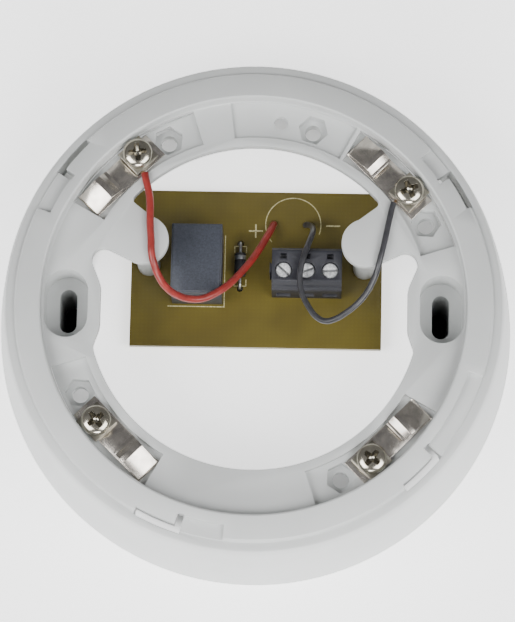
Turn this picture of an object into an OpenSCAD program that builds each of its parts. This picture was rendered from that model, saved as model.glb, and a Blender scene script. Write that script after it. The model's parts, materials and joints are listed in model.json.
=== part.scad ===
// Deep surface mounting base of a fire detector, with a relay board hung behind its opening.
// Z = 0 is the rear rim, which meets the ceiling; +Z points into the room. Millimetres.
// X runs through the two fixing slots, and the relay board lies towards +Y.

/* [Housing] */
// Diameter of the rear rim
base_d = 112; // [100:1:125]
// Height from the rear rim to the inner edge of the front ring
base_h = 30.6; // [28:0.2:34]
// Diameter of the outer edge of the ledge around the front ring
ledge_d = 106.2; // [104.5:0.2:108]
// Outer diameter of the front ring
ring_d = 101.8; // [100:0.2:102.4]
// Inner diameter of the front ring
ring_bore_d = 90.4; // [90:0.2:91.4]
// Drop of the front ring from its inner to its outer edge
ring_fall = 1.2; // [0.6:0.1:1.8]
// Depth of the contact floor below the ring's inner edge
floor_drop = 3.3; // [2.6:0.1:4]
// Thickness of the contact floor
floor_t = 2.4; // [1.8:0.1:3]
// Wall thickness of the skirt
wall_t = 2.2; // [1.6:0.1:2.8]
// Diameter of the central opening
opening_d = 70.6; // [68:0.2:72]

/* [Fixing slots] */
// Distance between the two fixing slots
slot_spacing = 80; // [78:0.2:82]
// Width of a fixing slot
slot_w = 3.7; // [3:0.1:4.5]
// Length of a fixing slot, end to end
slot_l = 9.5; // [8:0.1:10.5]
// Width of the recess around a fixing slot
recess_w = 9.3; // [8.5:0.1:9.8]
// Depth of the recess around a fixing slot
recess_depth = 8.3; // [6:0.1:10]

/* [Board] */
// Width of the relay board
board_w = 55.2; // [53.6:0.2:56]
// Length of the relay board
board_l = 35.2; // [34.8:0.2:37]
// Thickness of the relay board
board_t = 1.6; // [1.2:0.2:2]
// Height of the board's front face above the rear rim
board_z = 3.4; // [3.4:0.1:4.4]
// Distance between the two posts that carry the board
post_spacing = 47.4; // [47:0.2:48]
// Diameter of a post
post_d = 5; // [4.4:0.1:5.4]
// Diameter of the rounded end of an arm
bulb_d = 10.4; // [9.6:0.1:11]

/* [Contacts] */
// Width of a contact strip
strip_w = 6; // [5.6:0.1:6.2]
// Thickness of the contact strip
strip_t = 0.5; // [0.4:0.1:0.6]
// Width of the spring tongue
tongue_w = 5.4; // [5:0.1:5.6]
// Thickness of the spring tongue
tongue_t = 0.35; // [0.3:0.05:0.45]
// Height of the tongue's crest above the strip
crest_h = 2.7; // [2.4:0.1:3]
// Diameter of a contact screw's thread
screw_d = 3; // [2.6:0.1:3.2]
// Diameter of a contact screw's head
head_d = 6.4; // [5.8:0.1:6.6]
// Side of the square clamp plate under the screw head
clamp_w = 6.2; // [5.8:0.1:6.4]
// Width across flats of a contact nut
nut_af = 5.5; // [5.2:0.1:5.6]
// Travel of a clamp plate when its screw is slackened
clamp_travel = 1; // [0.5:0.1:1.2]

/* [Leads] */
// Outer diameter of the red lead
red_d = 1.6; // [1.4:0.1:1.7]
// Outer diameter of the black lead
black_d = 1.3; // [1.2:0.1:1.6]
// Diameter of the bare conductor in each lead
core_d = 0.6; // [0.5:0.1:0.7]

/* [Relay] */
// Width of the relay case
relay_w = 11; // [10.6:0.1:11.4]
// Length of the relay case
relay_l = 15.4; // [15:0.1:16]
// Height of the relay case
relay_h = 11.8; // [11.6:0.1:12.4]
// Wall of the relay case
relay_wall = 0.6; // [0.5:0.1:0.8]

/* [Terminal block] */
// Distance between neighbouring terminals
pitch = 5.08; // [5:0.01:5.2]
// Depth of the terminal block
block_l = 9; // [8.8:0.1:9.6]
// Height of the terminal block
block_h = 10; // [9.8:0.1:10.6]
// Travel of a wire cage
cage_travel = 1.9; // [1:0.1:1.9]

/* [Hidden] */
$fn = 64;
eps = 0.01;

// Housing levels
base_r = base_d / 2;
ledge_r = ledge_d / 2;
ring_r = ring_d / 2;
ring_bore_r = ring_bore_d / 2;
opening_r = opening_d / 2;
ring_z = base_h - ring_fall;
ledge_z = ring_z - 1.2;
floor_z = base_h - floor_drop;
floor_under_z = floor_z - floor_t;

// Contact troughs: one in each quarter, cut into the contact floor
quarters = [45, 135, 225, 315];
trough_depth = 1.5;
trough_r = 37.2;
trough_from = -27;
trough_to = 15.4;
trough_z = floor_z - trough_depth;
trough_boss_t = 5;
contact_r = 40.6;
screw_r = 41.2;
screw_s = -5.1;
strip_from = -9.6;
strip_to = 10.2;
crest_s = 4.9;
free_s = 2.4;
free_h = 1.7;
strip_top = trough_z + strip_t;
nut_h = 2.3;
nut_gap = 0.1;
nut_pocket = nut_h + 0.2;
spare_angle = -17.4;
screw_clear = 0.25;
thread_clear = 0.03;
core_gap = 0.02;
lead_sit = core_d + 2 * core_gap;
clamp_t = 0.8;
lock_t = 0.7;
lock_inset = 0.35;
head_h = 2.1;
drive_w = 0.55;
drive_depth = 1.3;
screw_spare = 0.9;
screw_tip_z = trough_z - nut_pocket - clamp_travel - screw_spare;
fold_t = 0.5;
fold_gap = 0.05;

// The shallow empty trough at the head of the base: its angles, and its nut pocket and locating hole
head_from = 61.5;
head_sweep = 36;
head_depth = 0.8;
head_nut_angle = 73;
head_nut_r = 41;
locating_angle = 82.9;
locating_r = 40.9;
locating_hole_r = 1.5;
head_boss_sweep = 11;

// Ribs under the contact floor
rib_t = 1.2;
rib_h = 6;
rib_l = 6.6;
rib_step = 36;

// Bayonet slots in the front ring: start angle, slot sweep and ramp sweep
bayonets = [[25.6, 10.4, 6.8], [135.7, 10.6, 10.2], [241.6, 11.8, 10.4], [310, 11.6, 21.6]];
bayonet_w = 1.5;
bayonet_leg = 3.4;
ramp_depth = 0.8;

// Fixing slot bosses
slot_x = slot_spacing / 2;
recess_l = recess_w + slot_l - slot_w - 0.3;
recess_z = floor_z - recess_depth;
boss_wall = 1.6;
pad_x = slot_x - recess_w / 2 - 2.65;

// Board and its posts
board_y = 13.7;
post_x = post_spacing / 2;
post_y = 14.3;
bulb_r = bulb_d / 2;
board_under = board_z - board_t;
post_screw_d = 2.6;
post_screw_head_d = 4.8;
post_screw_head_h = 1.5;
post_hole_l = 10;
hole_r = 0.65;

// Relay place on the board
relay_x = -12.9;
relay_y = 13.3;
case_gap = 0.2;
relay_base_t = 1.4;
relay_floor = board_z + case_gap + relay_base_t;
relay_top = board_z + relay_h;
relay_leg_y = relay_y - relay_l / 2 + relay_wall + 0.4;
coil_y = relay_y - 2;
coil_x = relay_x;
yoke_t = 0.9;
yoke_w = 5;
core_r = 1.2;
spool_r = 1.6;
flange_r = 3.6;
flange_t = 0.6;
armature_gap = 0.4;
armature_t = 0.8;
armature_z = relay_top - 3.1;
blade_t = 0.2;
blade_tip_y = relay_y + relay_l / 2 - 2.2;
button_r = 0.8;
button_h = 0.4;
contact_gap = 0.55;
blade_z = armature_z + armature_t;
blade_w = 2.4;
coil_low = relay_floor + yoke_t;
coil_high = armature_z - armature_gap;

// Terminal block place on the board
block_x = 11.1;
block_y = 11.9;
block_w = 3 * pitch;
screw_y = 11.4;
clamp_screw_d = 2.5;
clamp_head_r = 1.75;
clamp_head_h = 1.5;
well_r = clamp_head_r + 0.1;
cage_w = 3.6;
cage_l = 3.4;
cage_bar = 0.9;
cage_top = board_z + 7.8;
cage_low = board_z + 3.3;
cage_play = 0.15;
plate_z = cage_low + cage_bar + 0.2;
plate_t = 0.6;
block_top = board_z + block_h;
entry_w = 3.2;
terminal_pin_y = screw_y + 2.6;
probe_y = 3.1;
probe_w = 1.4;

// Diode on the board
diode_x = -3.6;
diode_y = 14.35;
diode_r = 1.3;
diode_l = 5.2;
diode_z = board_z + diode_r + 0.2;
diode_lead_r = 0.35;
diode_span = 10.2;
diode_ends = [[diode_x, diode_y - diode_span / 2], [diode_x, diode_y + diode_span / 2]];

// Free leads: each leaves its contact over the trough's edge, and is laid by hand to the board
lead_edge_r = 37.1;
core_bend_r = 37.5;
core_wrap_r = 2.3;
lead_gap = 0.05;
board_gap = 0.1;
laid_board_z = 3.4;
laid_floor_z = 27.3;
laid_rest_h = 14.4;
red_exit_s = 3.3;
black_exit_s = 4.6;
red_z = floor_z + red_d / 2 + lead_gap;
black_z = floor_z + black_d / 2 + lead_gap;
red_route = concat([spot(1, [red_exit_s, lead_edge_r], red_z)], laid([
    [-23.7, 27.4, 28.25], [-23, 24.8, 28.4], [-22.6, 22, 28.5],
    [-22.5, 18, 28.6], [-22.2, 14, 28.6], [-22, 11, 28.5], [-21.4, 8.6, 27.8],
    [-20.4, 6.4, 26], [-18.8, 4.6, 23.4], [-16.6, 3.6, 20.8], [-13.8, 3.3, 18.6],
    [-11, 3.8, 17.4], [-8.6, 5.1, 16.6], [-6.2, 7, 15.5], [-4, 9.6, 13.7],
    [-2, 12.4, 11.9], [-0.4, 15, 10.3], [1, 17.6, 8.9], [2.2, 20.2, 7.3],
    [3.1, 22.4, 5.6], [3.5, 23.6, 4.4]
]), [[3.6, 24, board_z + board_gap]]);
black_route = concat([spot(0, [black_exit_s, lead_edge_r], black_z)], laid([
    [29.1, 21.6, 28.1], [28.6, 19.2, 28.3], [28, 16.2, 28.5],
    [27.4, 13.2, 28.6], [26.8, 10.8, 28.5], [26.2, 8.4, 27.8], [25.2, 6, 26],
    [23.8, 3.8, 24], [21.8, 1.8, 22.1], [19.6, 0.4, 20.3], [17.4, -0.6, 18.7],
    [15.2, -0.8, 17.5], [13.3, 0.3, 16.7], [11.8, 2.3, 16.1], [10.6, 4.6, 15.6],
    [9.8, 7, 15.3], [9.6, 9.4, 15.3], [9.9, 11.8, 15.3], [10.5, 14.4, 15],
    [11.3, 17, 13.9], [12, 19.4, 12], [12.3, 21.2, 9.6], [12.1, 22.6, 7.2],
    [11.4, 23.5, 5.2], [10.8, 23.8, 4.3]
]), [[10.6, 23.9, board_z + board_gap]]);

// Leads that leave the board and the solder side
relay_pin_spots = [[-3.6, -6.2], [3.6, -6.2], [0, -6.2], [-3, 6.2], [3, 6.2]];
pin_w = 0.8;
solder_spots = concat(
    [for (p = relay_pin_spots) relay_pin_at(p)],
    [for (i = [0:2]) terminal_pin_at(i)],
    diode_ends, [lead_hole(red_route), lead_hole(black_route)]
);

function polar(r, a) = [r * cos(a), r * sin(a)];
function lerp(a, b, t) = a + (b - a) * t;

// Points of an arc from one angle to another, about a centre
function arc(c, r, from, to, n) = [for (i = [0:n]) c + polar(r, lerp(from, to, i / n))];

function unit(v) = v / norm(v);

// A point in space from one beside a contact, measured clockwise along its strip and outward
function spot(q, p, z) =
    let (a = quarters[q] - 90)
    [p[0] * cos(a) - p[1] * sin(a), p[0] * sin(a) + p[1] * cos(a), z];

// A hand-laid route: the part that lies on the relay and the block keeps its height over the
// board, and the part above it stretches up to the contact floor
function laid(route) =
    let (rise = (floor_z - board_z - laid_rest_h) / (laid_floor_z - laid_board_z - laid_rest_h))
    [for (p = route) let (h = p[2] - laid_board_z)
        [p[0], p[1], board_z + min(h, laid_rest_h) + max(h - laid_rest_h, 0) * rise]];

// Middle of the hole where a lead meets the board
function lead_hole(route) = [route[len(route) - 1][0], route[len(route) - 1][1]];

// Arc that rounds the corner b between a and c
function fillet(a, b, c, r, n = 8) =
    let (u = unit(a - b), v = unit(c - b), half = acos(u * v) / 2,
        m = b + unit(u + v) * r / sin(half),
        p = b + u * r / tan(half) - m, q = b + v * r / tan(half) - m,
        from = atan2(p[1], p[0]), turn = atan2(q[1], q[0]) - from,
        sweep = turn > 180 ? turn - 360 : turn < -180 ? turn + 360 : turn)
    arc(m, r, from, from + sweep, n);

// Direction of a route at one of its points
function along(route, i) =
    unit(route[min(i + 1, len(route) - 1)] - route[max(i - 1, 0)]);

// A sideways direction square to d
function across(d) = unit(cross(abs(d[2]) > 0.9 ? [0, 1, 0] : [0, 0, 1], d));

// A ring of points around a route, square to it
function hoop(route, i, r, n) =
    let (d = along(route, i), u = across(d), v = cross(d, u))
    [for (k = [0:n - 1]) route[i] + r * (cos(360 * k / n) * u + sin(360 * k / n) * v)];

// A tube along a route, closed at both ends
module tube(route, r, n = 8) {
    rings = len(route);
    points = [for (i = [0:rings - 1]) each hoop(route, i, r, n)];
    walls = [for (i = [0:rings - 2]) for (k = [0:n - 1])
        [i * n + k, (i + 1) * n + k, (i + 1) * n + (k + 1) % n, i * n + (k + 1) % n]];
    start = [for (k = [0:n - 1]) k];
    end = [for (k = [n - 1:-1:0]) (rings - 1) * n + k];
    polyhedron(points, concat([start], walls, [end]), convexity = 4);
}

// A rod between two heights
module rod(x, y, z_low, z_high, r) {
    translate([x, y, z_low])
        cylinder(h = z_high - z_low, r = r);
}

// A box by its centre in X and Y and its two heights
module block(x, y, w, l, z_low, z_high) {
    translate([x - w / 2, y - l / 2, z_low])
        cube([w, l, z_high - z_low]);
}

// A part of a ring between two radii, two angles and two heights
module sector(r_in, r_out, from, sweep, z_low, z_high) {
    rotate([0, 0, from])
        rotate_extrude(angle = sweep)
            translate([r_in, z_low])
                square([r_out - r_in, z_high - z_low]);
}

// A long hole with round ends, its length along Y
module oblong(x, y, w, l, z_low, z_high) {
    rod(x, y - (l - w) / 2, z_low, z_high, w / 2);
    rod(x, y + (l - w) / 2, z_low, z_high, w / 2);
    block(x, y, w, l - w, z_low, z_high);
}

// A hexagonal prism by its width across flats
module hex(af, h) {
    cylinder(h = h, d = af / cos(30), $fn = 6);
}

// Places a contact's pieces: X runs clockwise along the strip, Y points outward
module at_contact(q) {
    rotate([0, 0, quarters[q] - 90])
        children();
}

/* ---------- housing ---------- */

// Section of the moulding, from the floor to the rear rim
module housing_section() {
    inner_r = base_r - wall_t;
    polygon([
        [0, floor_under_z],
        [ring_bore_r - 1.4, floor_under_z],
        [ring_bore_r + 1.4, ring_z - wall_t],
        [ring_r - 2.6, ring_z - wall_t - 0.6],
        [ledge_r - wall_t - 0.6, ledge_z - wall_t - 0.8],
        [lerp(ledge_r - wall_t, inner_r, 0.35), ledge_z * 0.62],
        [lerp(ledge_r - wall_t, inner_r, 0.8), ledge_z * 0.28],
        [inner_r, 0],
        [base_r - 0.4, 0],
        [base_r, 0.5],
        [base_r, 1.6],
        [lerp(ledge_r, base_r, 0.86), ledge_z * 0.25],
        [lerp(ledge_r, base_r, 0.62), ledge_z * 0.5],
        [lerp(ledge_r, base_r, 0.34), ledge_z * 0.74],
        [lerp(ledge_r, base_r, 0.14), ledge_z * 0.9],
        [ledge_r, ledge_z - 0.9],
        [ledge_r - 0.3, ledge_z - 0.35],
        [ledge_r - 0.9, ledge_z - 0.05],
        [ring_r + 0.2, ledge_z],
        [ring_r, ledge_z + 0.2],
        [ring_r, ring_z - 0.4],
        [ring_r - 0.4, ring_z],
        [ring_bore_r + 0.5, base_h - 0.05],
        [ring_bore_r + 0.15, base_h - 0.2],
        [ring_bore_r, base_h - 0.6],
        [ring_bore_r, floor_z + 0.3],
        [ring_bore_r - 0.3, floor_z],
        [0, floor_z]
    ]);
}

// Right half of the opening's outline: round, with a pad at the slot and an arm to the post
function opening_half() =
    let (
        bulb = [post_x, post_y],
        pad_low = polar(opening_r, -15),
        pad = [[pad_x, -5], [pad_x, 4.2]],
        notch = [37.2, 15],
        arm_top = bulb + polar(bulb_r, 108),
        corner = polar(opening_r, 40.4),
        arm_low = atan2(-(notch[0] - bulb[0]), notch[1] - bulb[1])
            + asin(bulb_r / norm(notch - bulb))
    )
    concat(
        arc([0, 0], opening_r, -88, -18, 30),
        fillet(polar(opening_r, -18), pad_low, pad[0], 2),
        fillet(pad_low, pad[0], pad[1], 6),
        fillet(pad[0], pad[1], notch, 5),
        fillet(pad[1], notch, bulb + polar(bulb_r, arm_low), 2.6, 12),
        arc(bulb, bulb_r, arm_low, 108 - 360, 30),
        fillet(arm_top, corner, polar(opening_r, 43), 1.3),
        arc([0, 0], opening_r, 43.5, 88, 24)
    );

module opening() {
    half = opening_half();
    translate([0, 0, floor_under_z - 3])
        linear_extrude(floor_t + floor_drop + 4)
            polygon(concat(half, [for (i = [len(half) - 1:-1:0]) [-half[i][0], half[i][1]]]));
}

// One trough with its two hexagonal nut pockets
module trough(q) {
    sector(trough_r, ring_bore_r - 0.15, quarters[q] + trough_from,
        trough_to - trough_from, trough_z, floor_z + 1);
    at_contact(q)
        nut_hole(-screw_s, screw_r);
    rotate([0, 0, quarters[q] + spare_angle])
        rotate([0, 0, -90])
            nut_hole(0, screw_r);
}

module nut_hole(s, r) {
    translate([s, r, trough_z - nut_pocket])
        hex(nut_af + 2 * nut_gap, nut_pocket + 1);
    rod(s, r, trough_z - trough_boss_t - 1, trough_z, screw_d / 2 + screw_clear);
}

module head_trough() {
    hole = polar(locating_r, locating_angle);
    sector(trough_r, ring_bore_r - 0.15, head_from, head_sweep, floor_z - head_depth, floor_z + 1);
    rotate([0, 0, head_nut_angle - 90])
        translate([0, 0, trough_depth - head_depth])
            nut_hole(0, head_nut_r);
    rod(hole[0], hole[1], floor_under_z - 1, floor_z + 1, locating_hole_r);
}

// A bayonet slot: an arc along the ring's edge with a short leg inward, then a ramp pocket
module bayonet(b) {
    end = b[0] + b[1];
    leg = end - 1.7;
    inner = ring_r - 1;
    foot = ring_r - bayonet_leg;
    translate([0, 0, ledge_z - 6])
        linear_extrude(base_h)
            polygon(concat(
                arc([0, 0], inner + bayonet_w, b[0], end, 6),
                [polar(foot, end), polar(foot, leg)],
                arc([0, 0], inner, leg, b[0], 6)
            ));
    translate([0, 0, ring_z - ramp_depth])
        linear_extrude(base_h)
            polygon(concat(
                arc([0, 0], ring_r + 0.7, end - 0.3, end + b[2], 8),
                arc([0, 0], foot + 0.2, end + b[2], end - 0.3, 8)
            ));
}

module slot_boss(side) {
    x = side * slot_x;
    oblong(x, 0, recess_w + 2 * boss_wall, recess_l + 2 * boss_wall,
        recess_z - boss_wall, floor_z - 0.5);
    oblong(x, 0, slot_w + 2 * boss_wall, slot_l + 2 * boss_wall, 0, recess_z);
}

module slot_cut(side) {
    x = side * slot_x;
    oblong(x, 0, recess_w, recess_l, recess_z, floor_z + 1);
    oblong(x, 0, slot_w, slot_l, -1, recess_z + 1);
}

module post(side) {
    rod(side * post_x, post_y, board_z, floor_z - 0.5, post_d / 2);
}

module housing() {
    color("#cbcdcb")
        difference() {
            union() {
                difference() {
                    rotate_extrude($fn = 180)
                        housing_section();
                    opening();
                }
                for (q = [0:3])
                    sector(trough_r - 0.6, ring_bore_r - 1.2, quarters[q] + trough_from - 1,
                        trough_to - trough_from + 2, trough_z - trough_boss_t, floor_z - 1);
                sector(trough_r - 0.6, ring_bore_r - 1.2, head_nut_angle - head_boss_sweep / 2,
                    head_boss_sweep, trough_z - trough_boss_t, floor_z - 1);
                for (side = [-1, 1]) {
                    slot_boss(side);
                    post(side);
                }
                underside_ribs();
            }
            for (q = [0:3])
                trough(q);
            head_trough();
            for (b = bayonets)
                bayonet(b);
            for (side = [-1, 1]) {
                slot_cut(side);
                rod(side * post_x, post_y, board_z - 1, board_z + post_hole_l, post_screw_d / 2);
            }
        }
}

// Stiffening ribs between the floor and the skirt, out of sight from the front
module underside_ribs() {
    for (a = [rib_step / 2:rib_step:360 - rib_step / 2])
        if (abs(sin(a)) > 0.35)
            rotate([0, 0, a])
                translate([ring_bore_r - 3, -rib_t / 2, floor_under_z - rib_h])
                    cube([rib_l, rib_t, rib_h + 1]);
}

/* ---------- contacts ---------- */

// Foot of a contact: a flat strip with its end folded up
module contact_strip(q) {
    s = -screw_s;
    color("#9a968f")
        at_contact(q)
            difference() {
                union() {
                    block((-strip_from - strip_to) / 2, contact_r, strip_to - strip_from, strip_w,
                        trough_z, strip_top);
                    block(-strip_to + fold_t / 2, contact_r, fold_t, tongue_w, trough_z,
                        strip_top + tongue_t);
                }
                rod(s, screw_r, trough_z - 1, strip_top + 1, screw_d / 2 + screw_clear);
            }
}

// Spring tongue: rises from the fold to a crest and comes down short of the screw
module contact_tongue(q) {
    fold_z = strip_top + tongue_t + fold_gap;
    top = strip_top + crest_h;
    tip = strip_top + free_h;
    color("#d8d6cc")
        at_contact(q)
            translate([0, contact_r + tongue_w / 2, 0])
                rotate([90, 0, 0])
                    linear_extrude(tongue_w)
                        polygon([
                            [-strip_to + 0.1, fold_z], [-strip_to + fold_t, fold_z],
                            [-crest_s - 0.5, top - tongue_t - 0.1], [-crest_s + 0.4, top - tongue_t - 0.1],
                            [-free_s, tip - tongue_t], [-free_s, tip],
                            [-crest_s + 0.6, top], [-crest_s - 0.6, top],
                            [-strip_to, fold_z + 0.4]
                        ]);
}

// Underside of a clamp plate: the two that hold a lead sit on its bare conductor
function seat(q) = strip_top + (q < 2 ? lead_sit : 0.05);

module clamp_plate(q) {
    z = seat(q);
    color("#b9b3a4")
        at_contact(q)
            difference() {
                block(-screw_s, screw_r, clamp_w, clamp_w, z, z + clamp_t);
                rod(-screw_s, screw_r, z - 1, z + clamp_t + 1, screw_d / 2 + screw_clear);
            }
}

module lock_washer(q) {
    z = seat(q) + clamp_t;
    color("#a29c8e")
        at_contact(q)
            difference() {
                rod(-screw_s, screw_r, z, z + lock_t, head_d / 2 - lock_inset);
                rod(-screw_s, screw_r, z - 1, z + lock_t + 1, screw_d / 2 + screw_clear);
                block(-screw_s + head_d / 2 - 0.7, screw_r, 2.4, 0.3, z - 1, z + lock_t + 1);
            }
}

module contact_screw(q) {
    z = seat(q) + clamp_t + lock_t;
    color("#d9d2bd")
        at_contact(q)
            translate([-screw_s, screw_r, 0])
                difference() {
                    union() {
                        translate([0, 0, z])
                            rotate_extrude()
                                polygon([
                                    [0, 0], [head_d / 2 - 0.15, 0], [head_d / 2, 0.2],
                                    [head_d / 2, 0.9], [head_d / 2 - 0.35, 1.45],
                                    [head_d / 2 - 1, 1.85], [head_d / 2 - 1.8, head_h], [0, head_h]
                                ]);
                        rod(0, 0, screw_tip_z, z + eps, screw_d / 2);
                    }
                    for (a = [0, 90])
                        rotate([0, 0, a])
                            block(0, 0, head_d * 0.55, drive_w, z + head_h - drive_depth, z + head_h + 1);
                    translate([0, 0, z + head_h - drive_depth - 0.2])
                        cylinder(h = 2, r1 = 0.45, r2 = 0.85);
                }
}

module contact_nuts() {
    color("#b0ab9e")
        for (q = [0:3])
            at_contact(q)
                translate([-screw_s, screw_r, trough_z - nut_pocket])
                    difference() {
                        hex(nut_af, nut_h);
                        rod(0, 0, -1, nut_h + 1, screw_d / 2 + thread_clear);
                    }
}

/* ---------- board ---------- */

function relay_pin_at(p) = [relay_x + p[0], relay_y + p[1]];
function terminal_at(i) = [block_x + (i - 1) * pitch, screw_y];
function terminal_pin_at(i) = [terminal_at(i)[0], terminal_pin_y];

module board() {
    color("#6e5f2d")
        difference() {
            block(0, board_y, board_w, board_l, board_under, board_z);
            for (p = solder_spots)
                rod(p[0], p[1], board_under - 1, board_z + 1, hole_r);
            for (side = [-1, 1])
                rod(side * post_x, post_y, board_under - 1, board_z + 1, post_screw_d / 2 + 0.15);
        }
}

// Solder cones on the back of the board, each around its lead
module solder_joints() {
    color("#c9ccd0")
        for (p = solder_spots)
            translate([p[0], p[1], board_under - 1])
                difference() {
                    cylinder(h = 1, r1 = 0.75, r2 = 1.2);
                    rod(0, 0, -1, 2, hole_r);
                }
}

module board_screws() {
    color("#c4c6c8")
        for (side = [-1, 1])
            translate([side * post_x, post_y, 0])
                difference() {
                    union() {
                        rod(0, 0, board_under - post_screw_head_h, board_under,
                            post_screw_head_d / 2);
                        rod(0, 0, board_under - eps, board_z + post_hole_l - 2, post_screw_d / 2 - 0.02);
                    }
                    for (a = [0, 90])
                        rotate([0, 0, a])
                            block(0, 0, 2.6, 0.6, -1, board_under - post_screw_head_h + 0.8);
                }
}

/* ---------- relay ---------- */

module relay_base() {
    inner = 2 * relay_wall + 0.1;
    color("#39404a")
        difference() {
            block(relay_x, relay_y, relay_w - inner, relay_l - inner, board_z + case_gap, relay_floor);
            for (p = relay_pin_spots) {
                c = relay_pin_at(p);
                block(c[0], c[1], pin_w + 0.05, pin_w / 2 + 0.05, board_z, relay_floor + 1);
            }
        }
}

module relay_case() {
    color("#3c424d")
        difference() {
            union() {
                block(relay_x, relay_y, relay_w, relay_l, board_z + case_gap, relay_top - 0.3);
                block(relay_x, relay_y, relay_w - 0.6, relay_l - 0.6, board_z + 1, relay_top);
            }
            block(relay_x, relay_y, relay_w - 2 * relay_wall, relay_l - 2 * relay_wall,
                board_z - 1, relay_top - relay_wall);
        }
}

module relay_yoke() {
    color("#8d9094")
        difference() {
            union() {
                block(coil_x, (relay_leg_y + coil_y + 1.8) / 2, yoke_w,
                    coil_y + 1.8 - relay_leg_y, relay_floor, coil_low);
                block(coil_x, relay_leg_y + yoke_t / 2, yoke_w, yoke_t, relay_floor,
                    armature_z - 0.05);
            }
            rod(coil_x, coil_y, relay_floor - 1, coil_low + 1, core_r - 0.4 + 0.02);
        }
}

module relay_core() {
    color("#a5a7aa") {
        rod(coil_x, coil_y, coil_low + 0.02, coil_high, core_r);
        rod(coil_x, coil_y, relay_floor, coil_low + 0.1, core_r - 0.4);
    }
}

module relay_bobbin() {
    low = coil_low + 0.05;
    high = coil_high - 0.2;
    color("#e3e0d2")
        difference() {
            union() {
                rod(coil_x, coil_y, low, high, spool_r);
                rod(coil_x, coil_y, low, low + flange_t, flange_r);
                rod(coil_x, coil_y, high - flange_t, high, flange_r);
            }
            rod(coil_x, coil_y, low - 1, high + 1, core_r + 0.03);
        }
}

module relay_coil() {
    low = coil_low + 0.05 + flange_t;
    high = coil_high - 0.2 - flange_t;
    color("#a8552a")
        difference() {
            rod(coil_x, coil_y, low + 0.02, high - 0.02, flange_r - 0.3);
            rod(coil_x, coil_y, low - 1, high + 1, spool_r + 0.02);
        }
}

module relay_armature() {
    color("#9b9da0")
        block(coil_x, (relay_leg_y + coil_y + 2.4) / 2, yoke_w + 0.6,
            coil_y + 2.4 - relay_leg_y, armature_z, armature_z + armature_t);
}

// Copper blade on the armature, with a contact button through its tip
module relay_moving_blade() {
    color("#c98f4f") {
        block(coil_x, (coil_y - 2 + blade_tip_y + 0.9) / 2, blade_w,
            blade_tip_y + 0.9 - coil_y + 2, blade_z, blade_z + blade_t);
        rod(coil_x, blade_tip_y, blade_z - button_h, blade_z + blade_t + 0.3, button_r);
    }
}

module fixed_contact(button_low, button_high, strip_low, strip_high, x, leg_low) {
    rod(coil_x, blade_tip_y, button_low, button_high, button_r);
    block((coil_x + x) / 2, blade_tip_y, abs(x - coil_x) + 1.6, 1.6, strip_low, strip_high);
    block(x, blade_tip_y, 0.5, 1.6, leg_low, strip_high);
}

module relay_closed_contact() {
    low = blade_z + blade_t + 0.32;
    color("#c98f4f")
        fixed_contact(low, low + 0.35, low + 0.3, low + 0.7, coil_x + 3.2, relay_floor);
}

module relay_open_contact() {
    high = blade_z - button_h - contact_gap;
    color("#c98f4f")
        fixed_contact(high - 0.35, high, high - 0.7, high - 0.3, coil_x - 3.2, relay_floor);
}

module relay_pins() {
    color("#c9ccd0")
        for (p = relay_pin_spots) {
            c = relay_pin_at(p);
            block(c[0], c[1], pin_w, pin_w / 2, board_under - 0.8, relay_floor - 0.05);
        }
}

/* ---------- diode ---------- */

module diode_body() {
    color("#26272b")
        translate([diode_x, diode_y + diode_l / 2, diode_z])
            rotate([90, 0, 0])
                rotate_extrude()
                    polygon([
                        [0, 0], [diode_r - 0.35, 0], [diode_r, 0.35], [diode_r, diode_l - 0.35],
                        [diode_r - 0.35, diode_l], [0, diode_l]
                    ]);
}

module diode_leads() {
    color("#c9ccd0")
        for (end = [-1, 1]) {
            y = diode_y + end * diode_span / 2;
            from = diode_y + end * diode_l / 2;
            translate([diode_x, min(from, y), diode_z])
                rotate([-90, 0, 0])
                    cylinder(h = abs(y - from), r = diode_lead_r);
            rod(diode_x, y, board_under - 0.8, diode_z, diode_lead_r);
            translate([diode_x, y, diode_z])
                sphere(r = diode_lead_r);
        }
}

/* ---------- terminal block ---------- */

module terminal_block() {
    front = block_y - block_l / 2;
    back = block_y + block_l / 2;
    low = cage_low - cage_travel - 0.1;
    color("#2f3038")
        difference() {
            translate([block_x - block_w / 2, 0, 0])
                rotate([90, 0, 90])
                    linear_extrude(block_w)
                        polygon([
                            [front, board_z], [front, board_z + 7.4], [front + 0.5, board_z + 8],
                            [front + 0.9, board_z + 8], [front + 1.2, block_top - 0.5],
                            [front + 1.7, block_top], [back - 0.6, block_top],
                            [back, block_top - 0.8], [back, board_z]
                        ]);
            for (i = [0:2]) {
                c = terminal_at(i);
                rod(c[0], c[1], cage_top, block_top + 1, well_r);
                block(c[0], c[1], cage_w + 2 * cage_play, cage_l + 2 * cage_play, low,
                    cage_top + 0.15);
                block(c[0], (front - 1 + c[1]) / 2, entry_w, c[1] - front + 1, low + 0.3,
                    plate_z + 0.1);
                block(c[0], c[1] + probe_y, probe_w, probe_w - 0.2, block_top - 1.6, block_top + 1);
                block(c[0], (c[1] + terminal_pin_y + 0.7) / 2, 2.5, terminal_pin_y + 0.7 - c[1],
                    board_z - 1, plate_z + plate_t + 0.1);
            }
        }
}

// Current plate of each terminal, with the pin that passes through the board
module terminal_plates() {
    color("#c9ccd0")
        for (i = [0:2]) {
            c = terminal_at(i);
            block(c[0], (c[1] - 1.4 + terminal_pin_y + 0.3) / 2, 2.2,
                terminal_pin_y + 1.7 - c[1], plate_z, plate_z + plate_t);
            block(c[0], terminal_pin_y, 0.9, 0.6, board_under - 0.8, plate_z + eps);
        }
}

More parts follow.
